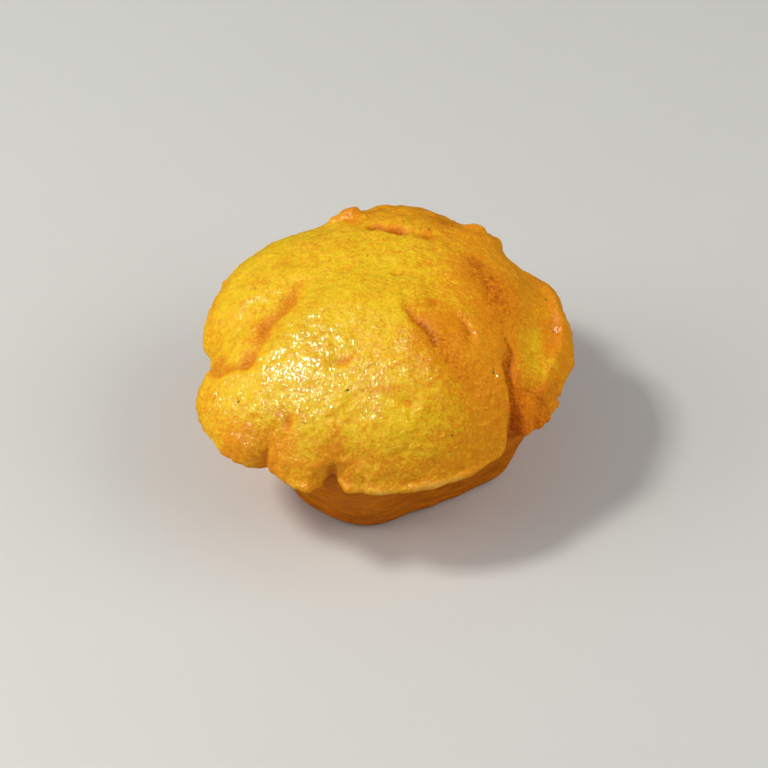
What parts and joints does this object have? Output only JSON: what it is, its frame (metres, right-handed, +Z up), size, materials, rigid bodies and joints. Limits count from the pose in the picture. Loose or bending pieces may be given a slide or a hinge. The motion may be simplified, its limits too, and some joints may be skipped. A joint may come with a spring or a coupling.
{
  "type": "cornbread muffin",
  "caption": "Golden baked cornbread muffin: a tapered round stump under a wide, lumpy, buttered cap with folds and a torn, overhanging rim.",
  "frame": {"origin": "on the flat base, under the middle of the cap's outline", "axes": "+Z up through the dome; -Y towards the side of the rim with the deepest tear; +X towards the separate lobe that a long fold sets off"},
  "size_m": [0.08, 0.082, 0.0477],
  "materials": {
    "crust": "buttered golden crust, half gloss, browner on the stump and in the folds"
  },
  "bodies": {
    "root": {"muffin": "crust"}
  },
  "joints": []
}
